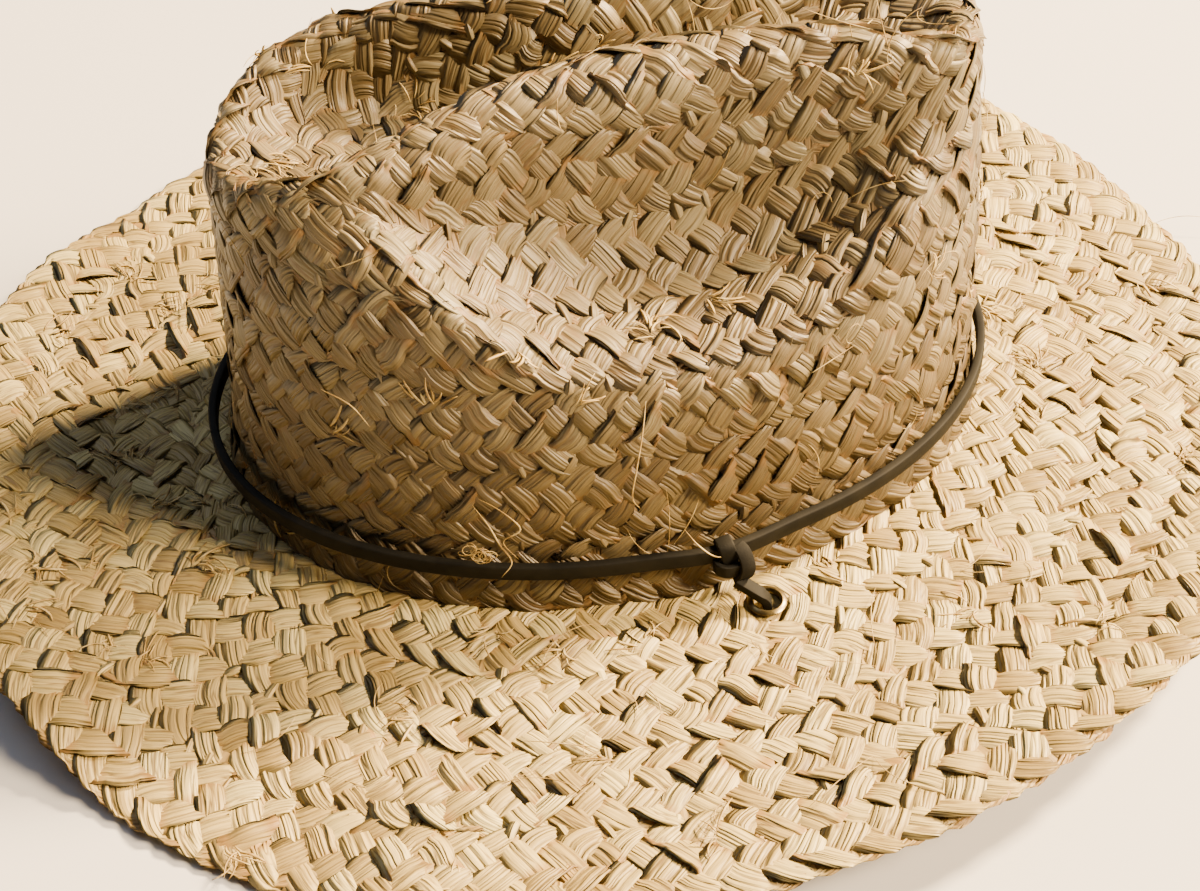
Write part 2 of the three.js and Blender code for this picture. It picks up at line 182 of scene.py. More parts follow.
# Height of the brim's edge: it touches the surface at the back and at two dips near the front.
brimWaves = tableColumns(
    ("angle", "lift"),
    [
        (0, 11), (27, 10), (41, -0.5), (49, -0.5), (64, 8), (90, 12.5), (122, 16.5), (150, 8.5),
        (173, -0.5), (187, -0.5), (208, 6), (240, 10.5), (272, 10), (299, -0.5), (307, -0.5),
        (325, 9.5), (343, 13),
    ],
)


# The plain oval wall of the crown, before its dents.
def crownWall(angles, height):
    rise = (height - straw["baseHeight"]) / (straw["shoulderHeight"] - straw["baseHeight"])
    along, across = -np.cos(np.radians(angles)), -np.sin(np.radians(angles))
    length = straw["baseHalfLength"] + (straw["topHalfLength"] - straw["baseHalfLength"]) * rise
    width = straw["baseHalfWidth"] + (straw["topHalfWidth"] - straw["baseHalfWidth"]) * rise
    flare = straw["backFlare"] * rise * np.maximum(along, 0) ** 2
    return np.stack([length * along + flare, width * across, height + 0 * along], -1)


# The crown's section at each angle: a curve that rounds the corners of its control polygon.
def crownProfiles(angles, stepsPerCorner):
    row = columnsAt(crownSections, angles)
    base = straw["baseHeight"]
    ridge = np.stack([row["ridgeX"], -row["ridgeY"], row["ridge"]], -1)
    tipX = -straw["tipHalfLength"] * np.cos(np.radians(angles))
    tip = np.stack([tipX, 0 * tipX, straw["tipHeight"] + 0 * tipX], -1)
    lip = crownWall(angles, row["lip"])
    foot = crownWall(angles, base + 0.3)

    # A place on the way from the ridge to somewhere, no further than a share of that way.
    def fromRidge(towards, distance, share, height):
        flat = (towards - ridge) * (1, 1, 0)
        reach = np.minimum(distance, np.linalg.norm(flat, axis=1) * share)
        place = ridge + unit(flat) * reach[:, None]
        place[:, 2] = height
        return place

    hollow = fromRidge(lip, row["dentReach"], 0.7, row["hollow"])
    dent = hollow - lip
    shelf = np.minimum(0.35, 0.9 * row["lipRound"] / np.hypot(dent[:, 0], dent[:, 1]))
    underRidge = np.maximum(row["ridge"] - row["roll"] * 1.5, row["hollow"] + 4) - 2
    throat = ridge + (tip - ridge) * 0.7
    throat[:, 2] = (row["crease"] + straw["tipHeight"]) / 2 - 1
    corners = np.stack(
        [
            foot + unit(foot * (1, 1, 0)) * straw["footFlare"],
            crownWall(angles, base + 5),
            crownWall(angles, base + (row["lip"] - base) * 0.4),
            crownWall(angles, row["lip"] - row["lipRound"]),
            lip,
            lip + dent * shelf[:, None],
            hollow,
            fromRidge(lip, row["roll"] * 0.9, 0.6, underRidge),
            fromRidge(lip, row["roll"] * 0.95, 0.6, row["ridge"] - row["roll"] * 0.3),
            fromRidge(lip, row["roll"] * 0.2, 0.3, row["ridge"] + 2),
            fromRidge(tip, 8, 0.35, row["ridge"]),
            fromRidge(tip, 14, 0.62, row["crease"] + 1),
            throat,
            tip,
        ],
        1,
    )
    rise = np.maximum(corners[..., 2] - base, 0) / straw["leanHeight"]
    corners[..., 1] += straw["lean"] * rise**1.5
    joints = (corners[:, 1:-2] + corners[:, 2:-1]) / 2
    starts = np.concatenate([corners[:, :1], joints], 1)[:, :, None]
    ends = np.concatenate([joints, corners[:, -1:]], 1)[:, :, None]
    middles = corners[:, 1:-1][:, :, None]
    t = (np.arange(stepsPerCorner) / stepsPerCorner)[None, None, :, None]
    bends = (1 - t) ** 2 * starts + 2 * t * (1 - t) * middles + t**2 * ends
    return np.concatenate([bends.reshape(len(angles), -1, 3), corners[:, -1:]], 1)


# The straw bends softly, so its surface is evened out over a few millimetres each way.
def soften(points, aroundSteps, rowSteps):
    for axis, size in ((0, aroundSteps), (1, rowSteps)):
        reach = 3 * size
        weights = np.exp(-0.5 * (np.arange(-reach, reach + 1) / size) ** 2)
        weights /= weights.sum()
        padding = [(0, 0)] * 3
        padding[axis] = (reach, reach)
        ends = {"mode": "wrap"} if axis == 0 else {"mode": "reflect", "reflect_type": "odd"}
        padded = np.pad(points, padding, **ends)
        count = points.shape[axis]
        points = sum(w * np.take(padded, np.arange(i, i + count), axis) for i, w in enumerate(weights))
    return points


# A surface sampled on a grid of angle by row number, to be read at any place between.
class RowSurface:
    def __init__(self, points):
        self.points = points  # angle, row step, xyz
        around = np.roll(points, -1, 0) - np.roll(points, 1, 0)
        upwards = np.gradient(points, axis=1)
        self.normals = unit(np.cross(around, upwards))

    def read(self, field, angles, rows):
        a = np.mod(angles, 360) / 360 * len(self.points)
        r = np.clip(rows * rowSteps, 0, self.points.shape[1] - 1.001)
        i, j = a.astype(int), r.astype(int)
        fa, fr = (a - i)[..., None], (r - j)[..., None]
        i, k = i % len(self.points), (i + 1) % len(self.points)
        low = field[i, j] * (1 - fr) + field[i, j + 1] * fr
        high = field[k, j] * (1 - fr) + field[k, j + 1] * fr
        return low * (1 - fa) + high * fa

    def at(self, angles, rows):
        return self.read(self.points, angles, rows), unit(self.read(self.normals, angles, rows))


rowSteps = 24  # grid steps across one row of braid
gridAngles = np.arange(0, 360, 0.5)

braid = {
    "width": 23.5,  # of a row, seam to seam
    "footRow": 18.5,  # the crown's first row shows this much above the brim
    "crownRows": 9,
    "brimRows": 4,
    "crownPitch": 9.4,  # from one leaf of the plait to the next
    "brimPitch": 10,
    "crownLift": -1.35,  # the middle of the braid, from the outside of the crown
    "softenSteps": (5, 4),  # of the surface's grid, round the crown and up it
    "ridgeCorner": 9,  # corner of the crown's section at the top of its ridge
    "outerRowWidth": 22.4,  # on the brim, at its front and back
    "outerRowWidening": 2,  # at its sides
}


def makeCrownSurface():
    steps = 12  # for each corner of the section
    profiles = crownProfiles(gridAngles, steps)
    hops = np.linalg.norm(np.diff(profiles, axis=1), axis=2)
    lengths = np.concatenate([np.zeros((len(profiles), 1)), np.cumsum(hops, 1)], 1)
    ridgeIndex = int((braid["ridgeCorner"] - 0.5) * steps)
    rowNumbers = np.linspace(0, braid["crownRows"], braid["crownRows"] * rowSteps + 1)
    points = []
    for profile, length in zip(profiles, lengths):
        ridgeRow = 1 + (length[ridgeIndex] - braid["footRow"]) / braid["width"]
        wanted = np.interp(
            rowNumbers,
            [0, 1, ridgeRow, braid["crownRows"]],
            [0, braid["footRow"], length[ridgeIndex], length[-1]],
        )
        points.append(np.stack([np.interp(wanted, length, column) for column in profile.T], -1))
    return RowSurface(soften(np.array(points), *braid["softenSteps"]))


brimInner = np.array([straw["baseHalfLength"], straw["baseHalfWidth"]]) - straw["brimInnerStep"]
brimEdge = np.array([straw["brimHalfLength"], straw["brimHalfWidth"]]) - straw["edgeRound"]


# Height of the brim some share of the way out, where its edge is lifted by so much.
def brimHeight(lift, share):
    root = straw["baseHeight"] - straw["wall"] / 2
    reach = np.maximum(share - straw["brimFlatRoot"], 0) / (1 - straw["brimFlatRoot"])
    bend = reach**1.3
    height = root * (1 - bend) + lift * bend - straw["brimDip"] * lift * np.sin(np.pi * reach)
    return np.maximum(height, straw["wall"] / 2)


def makeBrimSurface():
    along, across = -np.cos(np.radians(gridAngles)), -np.sin(np.radians(gridAngles))
    lift = columnsAt(brimWaves, gridAngles)["lift"]
    widths = np.hypot(*(brimEdge - brimInner)[:, None] * (along, across))
    rowNumbers = np.linspace(0, braid["brimRows"], braid["brimRows"] * rowSteps + 1)
    points = []
    for c, s, high, width in zip(along, across, lift, widths):
        firstStart = straw["brimInnerStep"] - 1
        rowWidth = braid["outerRowWidth"] + braid["outerRowWidening"] * s * s
        firstEnd = width - (braid["brimRows"] - 1) * rowWidth
        share = np.interp(rowNumbers, [0, 1, braid["brimRows"]], [firstStart, firstEnd, width]) / width
        size = brimInner + (brimEdge - brimInner) * share[:, None]
        points.append(np.stack([size[:, 0] * c, size[:, 1] * s, brimHeight(high, share)], -1))
    surface = RowSurface(np.array(points))
    surface.normals *= -1
    return surface


crownSurface = makeCrownSurface()
brimSurface = makeBrimSurface()
print("surfaces worked out")


# The leather lace, round the crown and under the chin.
lace = {
    "width": 4.6,
    "thickness": 2.3,
    "corner": 0.5,
    "bandHeight": 20.6,
    "bandClearance": 1.1,
    "bandSlack": 3,  # it stands off the front of the crown
    "slackReach": 65,  # degrees either side of the front
    "knotStandoff": 2,  # and off the side of the crown at each knot
    "knotAngle": 97,  # degrees from the front
    "knotReach": 13,
}
eyelet = {
    "x": 21.5,
    "y": 88,
    "bore": 3.4,  # radii
    "barrel": 3.95,
    "flange": 5.1,
    "rim": 0.9,
    "roll": 0.35,
    "seat": 0.15,
    "gap": 0.3,
    "sides": 48,
    "cornerRound": 0.12,
    "crowding": 13,  # how far out the strands are pushed aside
}
sides = {-1: "left", 1: "right"}


# A point on the crown's wall, and the way out from it.
def wallPoint(angle, height):
    wall = crownWall(np.array([float(angle)]), height)[0]
    wall[1] += straw["lean"] * (max(height - straw["baseHeight"], 0) / straw["leanHeight"]) ** 1.5
    steepness = (straw["baseHalfLength"] ** -2, straw["baseHalfWidth"] ** -2, 0)
    return wall, unit(wall * steepness)


def bandPoint(angle):
    turn = min(angle, 360 - angle)
    wall, outward = wallPoint(angle, lace["bandHeight"])
    slack = standoff = 0
    if turn < lace["slackReach"]:
        slack = lace["bandSlack"] * math.cos(turn / lace["slackReach"] * math.pi / 2) ** 2
    offKnot = abs(turn - lace["knotAngle"])
    if offKnot < lace["knotReach"]:
        standoff = lace["knotStandoff"] * math.cos(offKnot / lace["knotReach"] * math.pi / 2) ** 2
    return wall + outward * (lace["bandClearance"] + lace["thickness"] / 2 + slack + standoff), outward


def knotPoint(side):
    return bandPoint(lace["knotAngle"] if side < 0 else 360 - lace["knotAngle"])


def brimMiddle(angle, share):
    lift = columnsAt(brimWaves, np.array([angle]))["lift"][0]
    length, width = brimInner + (brimEdge - brimInner) * share
    turn = math.radians(angle)
    return np.array([-length * math.cos(turn), -width * math.sin(turn), brimHeight(lift, share)])


# Where an eyelet sits, and its axis, from the slope of the brim there.
def findEyelet(side):
    target = np.array([eyelet["x"], side * eyelet["y"]])
    angle = math.degrees(math.atan2(-target[1], -target[0]))
    turns, shares = np.arange(-12, 12.1, 0.5), np.arange(0.04, 0.3, 0.005)
    spots = [(angle + turn, share) for turn in turns for share in shares]
    best = min(spots, key=lambda spot: np.linalg.norm(brimMiddle(*spot)[:2] - target))
    around = brimMiddle(best[0] + 1, best[1]) - brimMiddle(best[0] - 1, best[1])
    out = brimMiddle(best[0], best[1] + 0.02) - brimMiddle(best[0], best[1] - 0.02)
    normal = unit(np.cross(out, around))
    return np.array([*target, brimMiddle(*best)[2]]), normal * np.sign(normal[2])


eyeletPlaces = {side: findEyelet(side) for side in sides}

strap = {
    "restHeight": 1.3,
    # Where it lies on the surface under the hat, from the left eyelet to the right one.
    "onSurface": [
        (27, -96), (35, -103), (50, -109), (74, -110), (100, -98), (118, -72), (121, -38),
        (104, -10), (72, 3), (34, 4), (-8, -2), (-50, -6), (-90, 0), (-117, 24),
        (-121, 60), (-100, 91), (-64, 109), (-24, 117), (8, 115), (25, 107), (27, 96),
    ],
    "tail": (1.6, 3.9, 6.9),  # along the band, out from it and down, from the middle of the knot
    "lean": (-1.5, 4.4),  # on its way down into the eyelet: along, and above it
    "mouth": 1.6,  # it enters the eyelet this far above the eyelet's middle
    "narrowed": 0.76,  # it is pulled narrow where it drops from each knot into its eyelet
    "turnRadius": 2.8,
    "turnAway": (0.55, 0.83),
}


def strapEnd(side):
    centre, normal = eyeletPlaces[side]
    along, out, down = strap["tail"]
    leanAlong, leanHigh = strap["lean"]
    leaning = centre + normal * leanHigh + (leanAlong, 0, 0)
    points = [knotPoint(side)[0] + (along, side * out, -down), leaning, centre + normal * strap["mouth"]]
    away = np.array([strap["turnAway"][0], side * strap["turnAway"][1], 0])
    for angle in np.radians((0, 45, 90)):
        place = centre + away * strap["turnRadius"] * (1 - math.cos(angle))
        place[2] = strap["restHeight"] + strap["turnRadius"] * (1 - math.sin(angle))
        points.append(place)
    return points


# A smooth curve through points, its speed set by the root of each gap between them.
def smoothRoute(points, steps):
    points = np.array(points, float)
    points = np.vstack([2 * points[0] - points[1], points, 2 * points[-1] - points[-2]])
    route = []
    for p0, p1, p2, p3 in zip(points, points[1:], points[2:], points[3:]):
        d0, d1, d2 = (max(np.linalg.norm(b - a), 1e-6) ** 0.5 for a, b in ((p0, p1), (p1, p2), (p2, p3)))
        leave = ((p1 - p0) / d0 - (p2 - p0) / (d0 + d1) + (p2 - p1) / d1) * d1
        arrive = ((p2 - p1) / d1 - (p3 - p1) / (d1 + d2) + (p3 - p2) / d2) * d1
        route.append(curveBetween((np.arange(steps) / steps)[:, None], p1, leave, p2, arrive))
    return np.vstack([*route, points[-2]])


# The way a lace's width points at each step: level, and held where the route is steep.
def levelWays(route):
    ways, held = [], None
    for tangent in unit(np.gradient(route, axis=0)):
        if held is None or abs(tangent[2]) <= 0.8:
            held = np.array([-tangent[1], tangent[0], 0.0])
        ways.append(unit(held - tangent * (held @ tangent)))
    return np.array(ways)


# Flat lace: a strip along its middle line, given a thickness and rounded corners.
def makeLace(name, middles, ways, width, thickness, closed=False):
    half = np.asarray(ways) * width / 2
    edges = np.stack([middles - half, middles + half], 1).reshape(-1, 3)
    count = len(middles)
    starts = np.arange(count if closed else count - 1)
    ends = (starts + 1) % count
    strip = np.stack([2 * starts, 2 * starts + 1, 2 * ends + 1, 2 * ends], 1)
    piece = newObject(name, edges, strip)
    bpy.context.view_layer.objects.active = piece
    wall = piece.modifiers.new("thickness", "SOLIDIFY")
    wall.thickness, wall.offset, wall.use_even_offset = thickness * mm, 0, True
    corner = piece.modifiers.new("corners", "BEVEL")
    corner.width, corner.segments, corner.angle_limit = lace["corner"] * mm, 2, math.radians(50)
    for modifier in ("thickness", "corners"):
        bpy.ops.object.modifier_apply(modifier=modifier)
    piece.data.shade_smooth()
    return piece


strapPoints = [
    *strapEnd(-1),
    *[np.array([x, y, strap["restHeight"]]) for x, y in strap["onSurface"]],
    *reversed(strapEnd(1)),
]
strapRoute = smoothRoute(strapPoints, 8)
stepsFromEnd = np.minimum(np.arange(len(strapRoute)), np.arange(len(strapRoute))[::-1])
narrowing = np.interp(stepsFromEnd, [12, 26], [strap["narrowed"], 1])[:, None]
chinStrap = makeLace(
    "chin_strap_lace", strapRoute, levelWays(strapRoute) * narrowing, lace["width"], lace["thickness"]
)

bandMiddles = np.array([bandPoint(angle)[0] for angle in np.arange(0, 360, 2.0)])
upright = np.tile((0.0, 0.0, 1.0), (len(bandMiddles), 1))
bandLace = makeLace("band_leather", bandMiddles, upright, lace["width"], lace["thickness"], closed=True)

knot = {
    "thickness": 1.5,  # the lace is squeezed where it is pulled tight
    "clearance": 0.35,
    "lean": 9,  # degrees that the turn round the band leans over
    # Points along the band, up and out from the middle of the turn.
    "belt": [
        (-3.3, -2.4, 0.6), (-3.2, -2.6, 2.4), (-1.8, -2.9, 3.9), (0.6, -3.1, 4.2), (2.8, -2.8, 3.8),
        (4.0, -2.4, 2.4), (4.1, -2.1, 0.8),
    ],
    "drop": [
        (2.6, 2.2, 0.9), (3.4, 1.6, 2.6), (3.9, -0.2, 4.3), (3.9, -2.4, 5.4), (3.2, -4.6, 5.3),
        (2.3, -6.2, 4.5), (1.7, -7.0, 3.9),
    ],
    "squeezed": 0.8,  # width of the belt and the drop, over the lace's
}


def makeKnot(side):
    centre, outward = knotPoint(side)
    up = np.array([0.0, 0.0, 1.0])
    along = np.cross(up, outward) * -side
    # The turn round the band, a closed loop.
    thick, clear = knot["thickness"], knot["clearance"]
    deep = lace["thickness"] / 2 + clear + thick / 2
    high = lace["width"] / 2 + clear + thick / 2
    turn = np.linspace(0, 2 * np.pi, 40, endpoint=False)[:, None]
    outPart = deep * np.sign(np.cos(turn)) * np.abs(np.cos(turn)) ** 0.55
    upPart = high * np.sign(np.sin(turn)) * np.abs(np.sin(turn)) ** 0.55
    lean = math.radians(knot["lean"])
    loop = centre + outPart * outward + upPart * up - upPart * math.sin(lean) * along
    way = along * math.cos(lean) + up * math.sin(lean)
    turnPiece = makeLace("turn", loop, np.tile(way, (40, 1)), lace["width"] - 0.2, thick, closed=True)
    # A belt over the turn, and the end that drops out of it towards the eyelet.
    pieces = [turnPiece]
    for part, wish in (("belt", up), ("drop", along)):
        route = smoothRoute([centre + a * along + u * up + o * outward for a, u, o in knot[part]], 6)
        tangents = unit(np.gradient(route, axis=0))
        ways = unit(wish - tangents * (tangents @ wish)[:, None])
        pieces.append(makeLace(part, route, ways, lace["width"] * knot["squeezed"], thick * 0.9))
    bpy.ops.object.select_all(action="DESELECT")
    for piece in pieces:
        piece.select_set(True)
    bpy.context.view_layer.objects.active = turnPiece
    bpy.ops.object.join()
    turnPiece.name = "knot_leather_" + sides[side]
    bpy.ops.object.select_all(action="DESELECT")
    return turnPiece


knots = {side: makeKnot(side) for side in sides}


# An eyelet drawn up from one ring: up its bore, over its rolled rim and down to its back.
def makeEyelet(side):
    face = straw["wall"] / 2 + eyelet["gap"] + eyelet["seat"]
    bore, flange, barrel, rim = (eyelet[k] for k in ("bore", "flange", "barrel", "rim"))
    outline = [
        (bore, -face - eyelet["roll"]), (bore, 0), (bore, face),
        (bore + 0.12, face + rim * 0.65), (bore + 0.42, face + rim), (bore + 0.85, face + rim * 0.85),
        (flange, face + rim * 0.3), (flange, face), (barrel - 0.1, face), (barrel - 0.1, -face),
        (flange - 0.3, -face), (flange - 0.3, -face - eyelet["roll"]),
    ]
    bpy.ops.mesh.primitive_circle_add(vertices=eyelet["sides"], radius=outline[0][0] * mm)
    ring = bpy.context.object
    ring.name = "eyelet_brass_" + sides[side]
    bpy.ops.object.mode_set(mode="EDIT")
    bpy.ops.mesh.select_all(action="SELECT")
    for (r0, z0), (r1, z1) in zip(outline, outline[1:] + outline[:1]):
        bpy.ops.mesh.extrude_edges_move(TRANSFORM_OT_translate={"value": (0, 0, (z1 - z0) * mm)})
        bpy.ops.transform.resize(value=(r1 / r0, r1 / r0, 1), center_override=(0, 0, 0))
    bpy.ops.mesh.select_all(action="SELECT")
    bpy.ops.mesh.remove_doubles(threshold=0.01 * mm)
    bpy.ops.mesh.normals_make_consistent(inside=False)
    bpy.ops.object.mode_set(mode="OBJECT")
    soft = ring.modifiers.new("corners", "BEVEL")
    soft.width, soft.segments, soft.angle_limit = eyelet["cornerRound"] * mm, 2, math.radians(35)
    bpy.ops.object.modifier_apply(modifier="corners")
    centre, normal = eyeletPlaces[side]
    turn = Vector((0, 0, 1)).rotation_difference(Vector(normal)).to_matrix().to_4x4()
    lift = Matrix.Translation((0, 0, outline[0][1] * mm))
    ring.data.transform(Matrix.Translation(Vector(centre) * mm) @ turn @ lift)
    ring.data.shade_smooth()
    return ring


eyelets = {side: makeEyelet(side) for side in sides}
bpy.ops.object.select_all(action="DESELECT")
print("lace, knots and eyelets made")


# Flat braid, each strand going over and under its neighbours from edge to edge.
plait = {
    "strands": 5,
    "reach": 0.99,  # share of a row's half width that the strands swing to
    "straight": 0.45,  # from 0, a soft wave, to 1, a sharp zigzag
    "samples": 40,  # along one swing there and back
    "rise": 0.38,  # a strand's middle above or below the braid's middle
    "thickness": 0.9,
    "fill": 1.27,  # strand width over the room it has
    "leastWidth": 2.4,
    "puff": 0.35,  # a row is this much thicker along its middle
    "fold": 0.55,  # depth of the two long folds in each leaf
    "foldWidth": 0.25,
    "stray": 0.35,  # how far a leaf slips sideways
    "tilt": 0.13,  # radians
    "unevenWidth": 0.1,
    "unevenHeight": 0.12,
    "unevenTone": 0.27,
}
lowerSide = np.array([0.6, 0, -0.6])  # places across the hidden side of a strand


# Height of a strand in the weave, from -1 under to 1 over, along its swing.
def weaveHeight(degrees):
    down = np.cos(np.radians(5 * degrees))
    weave = np.where(degrees < 180, down, -down)
    lowTurn = np.cos(np.radians((degrees - 144) * 2.5))
    highTurn = np.cos(np.radians(np.mod(degrees + 36, 360) * 2.5))
    weave = np.where((degrees > 144) & (degrees < 216), lowTurn, weave)
    weave = np.where((degrees > 324) | (degrees < 36), highTurn, weave)
    return np.sign(weave) * np.abs(weave) ** 0.65


# Random values, one for each leaf that shows, repeated along the leaf.
def perLeaf(leaf, draw):
    return draw(leaf.max() + 1)[leaf]


def braidRing(surface, row, pitch, lift):
    fine = np.linspace(0, 360, 1441)
    middle, _ = surface.at(fine, np.full(len(fine), row + 0.5))
    length = travel(middle)
    strands, samples = plait["strands"], plait["samples"]
    swings = max(2, round(length[-1] / (pitch * strands)))
    pitches = swings * strands
    angleAt = lambda u: np.interp(np.mod(u, pitches) / pitches * length[-1], length, fine)
    step = np.arange(swings * samples)
    phase = 2 * np.pi * step / samples + np.radians(36)
    degrees = np.degrees(phase) % 360
    height = weaveHeight(degrees)
    # A strand goes under at 36, 108, 216 and 288 degrees, so it shows four leaves in a swing.
    unders = np.array([36.1, 108, 216, 288, 396])
    turned = np.where(degrees < 36, degrees + 360, degrees)
    inSwing = np.maximum(np.searchsorted(unders, turned) - 1, 0)
    leaf = inSwing + 4 * (step // samples)
    alongLeaf = (turned - (unders[1:] + unders[:-1])[inSwing] / 2) / 45
    zigzag = 1 - 2 * np.abs(np.mod(degrees / 180 + 1, 2) - 1)
    swing = ((1 - plait["straight"]) * np.cos(phase) + plait["straight"] * zigzag) * plait["reach"]
    made = []
    for strand in range(strands):
        bulk = perLeaf(leaf, lambda n: random.normal(0, 1, n))
        tilt = perLeaf(leaf, lambda n: random.normal(0, plait["tilt"], n))[:, None]
        slip = perLeaf(leaf, lambda n: random.normal(0, plait["stray"], n))
        skew = perLeaf(leaf, lambda n: random.normal(0, plait["stray"], n))
        stray = (slip + skew * alongLeaf) * np.maximum(height, 0)
        u = phase / (2 * np.pi) * strands + strand
        place, normal = surface.at(angleAt(u), row + 0.5 + 0.5 * swing)
        ahead, _ = surface.at(angleAt(u + 0.05), row + 0.5 + 0.5 * swing)
        behind, _ = surface.at(angleAt(u - 0.05), row + 0.5 + 0.5 * swing)
        heading = unit(np.roll(place, -1, 0) - np.roll(place, 1, 0))
        room = np.linalg.norm(np.cross(heading, ahead - behind), axis=1) / 0.1
        puff = plait["puff"] * (1 - swing**2)
        rise = plait["rise"] * height * (1 + plait["unevenHeight"] * bulk) + puff + lift
        centre = place + normal * rise[:, None]
        tangent = unit(np.roll(centre, -1, 0) - np.roll(centre, 1, 0))
        side = unit(np.cross(normal, tangent))
        top = np.cross(tangent, side)
        side, top = side * np.cos(tilt) + top * np.sin(tilt), top * np.cos(tilt) - side * np.sin(tilt)
        width = np.maximum(plait["fill"] * room, plait["leastWidth"])
        width *= (1 + plait["unevenWidth"] * bulk) * (0.9 + 0.1 * np.abs(height))
        # Two folds lie along each leaf, each a narrow dip between two shoulders.
        foldA = perLeaf(leaf, lambda n: random.uniform(-0.7, -0.1, n))
        foldB = perLeaf(leaf, lambda n: random.uniform(0.1, 0.7, n))
        edge = np.minimum(plait["foldWidth"] / width * 2, 0.12)
        upperSide = np.stack(
            [
                0 * edge - 1, foldA - edge, foldA, foldA + edge, (foldA + foldB) / 2,
                foldB - edge, foldB, foldB + edge, 0 * edge + 1,
            ],
            1,
        )
        thick = plait["thickness"] * np.minimum(1, 0.4 + width / 8)[:, None]
        depths = perLeaf(leaf, lambda n: random.uniform(0.1, 1, (n, 2)))
        dips = np.zeros_like(upperSide)
        dips[:, 2], dips[:, 6] = depths[:, 0], depths[:, 1]
        plump = perLeaf(leaf, lambda n: random.normal(0, 0.1, (n, 9)))
        plump[:, [0, 8]] = 0
        upper = (1 - 0.85 * np.abs(upperSide) ** 3) * thick / 2 + (plump - plait["fold"] * dips) * thick
        lower = -(1 - 0.85 * np.abs(lowerSide) ** 3) * thick / 2
        offAcross = np.concatenate([upperSide, lowerSide + 0 * upperSide[:, :3]], 1) * width[:, None] / 2
        offUp = np.concatenate([upper, lower], 1)
        moved = (offAcross + stray[:, None])[..., None]
        points = centre[:, None] + side[:, None] * moved + top[:, None] * offUp[..., None]
        leafTone = np.clip(perLeaf(leaf, lambda n: random.normal(0.5, plait["unevenTone"], n)), 0, 1)
        strandTone = random.uniform(0, 1) + 0 * height
        # The third tone value, the height in the weave, is read by the finish to paint shade on the parts
        # that go under.
        tone = np.stack([leafTone, strandTone, 0.5 + 0.5 * height], -1)
        tones = np.repeat(tone[:, None], offUp.shape[1], 1)
        # The fold depths also go to the finish, which paints the dips darker as shade.
        folds = np.concatenate([dips, 0 * lower], 1)
        along = travel(centre) + random.uniform(0, 900)
        made.append((points, tones, folds, along, offAcross + random.uniform(0, 900)))
    return [np.array(values) for values in zip(*made)]


# Joins rings of braid into one mesh, with a UV map in centimetres along and across each strand.
def makeBraid(name, rings):
    allPoints, allFaces, allUv, allTones, allFolds = [], [], [], [], []
    offset = 0
    for points, tones, folds, along, sideways in rings:
        strands, count, ring, _ = points.shape
        index = offset + np.arange(strands * count * ring).reshape(strands, count, ring)
        nextStep = np.roll(index, -1, 1)
        quads = np.stack([index, nextStep, np.roll(nextStep, -1, 2), np.roll(index, -1, 2)], -1)
        hop = along[:, 1:2] - along[:, 0:1]
        alongNext = np.concatenate([along[:, 1:], along[:, -1:] + hop], 1)
        sideNext = np.roll(sideways, -1, 1)
        here = np.stack([np.broadcast_to(along[..., None], sideways.shape), sideways], -1)
        ahead = np.stack([np.broadcast_to(alongNext[..., None], sideways.shape), sideNext], -1)
        uv = np.stack([here, ahead, np.roll(ahead, -1, 2), np.roll(here, -1, 2)], 3)
        allPoints.append(points.reshape(-1, 3))
        allFaces.append(quads.reshape(-1, 4))
        allUv.append(uv.reshape(-1, 2) / 10)
        allTones.append(tones.reshape(-1, 3))
        allFolds.append(folds.ravel())
        offset += strands * count * ring
    piece = newObject(name, np.concatenate(allPoints), np.concatenate(allFaces))
    layer = piece.data.uv_layers.new(name="strand")
    layer.data.foreach_set("uv", np.concatenate(allUv).astype(np.float32).ravel())
    tone = piece.data.attributes.new("tone", "FLOAT_VECTOR", "POINT")
    tone.data.foreach_set("vector", np.concatenate(allTones).astype(np.float32).ravel())
    fold = piece.data.attributes.new("fold", "FLOAT", "POINT")
    fold.data.foreach_set("value", np.concatenate(allFolds).astype(np.float32))
    return piece


# An eyelet pushes the strands aside, so that they lie round it.
def makeRoom(points):
    for centre, normal in eyeletPlaces.values():
        off = points - centre
        high = off @ normal
        flat = off - high[..., None] * normal
        distance = np.linalg.norm(flat, axis=-1)
        near = (distance < eyelet["crowding"]) & (np.abs(high) < 6)
        wanted = eyelet["barrel"] + distance * (1 - eyelet["barrel"] / eyelet["crowding"])
        spread = (wanted / np.maximum(distance, 0.01))[..., None]
        points = np.where(near[..., None], centre + high[..., None] * normal + flat * spread, points)
    return points


def ringsOf(surface, rows, pitch, lift):
    return [braidRing(surface, row, pitch, lift) for row in rows]


crownParts = {"crown_lower_braid": (0, 1, 2), "crown_middle_braid": (3, 4), "crown_top_braid": (5, 6, 7, 8)}
brimParts = {"brim_inner_braid": (0, 1), "brim_outer_braid": (2, 3)}
crownStraw, brimStraw = [], []
for name, rows in crownParts.items():
    crownStraw.append(makeBraid(name, ringsOf(crownSurface, rows, braid["crownPitch"], braid["crownLift"])))
for name, rows in brimParts.items():
    rings = ringsOf(brimSurface, rows, braid["brimPitch"], 0)
    if 0 in rows:
        rings[0][0] = makeRoom(rings[0][0])
    brimStraw.append(makeBraid(name, rings))
print("braid plaited:", {o.name: 2 * len(o.data.polygons) for o in crownStraw + brimStraw})


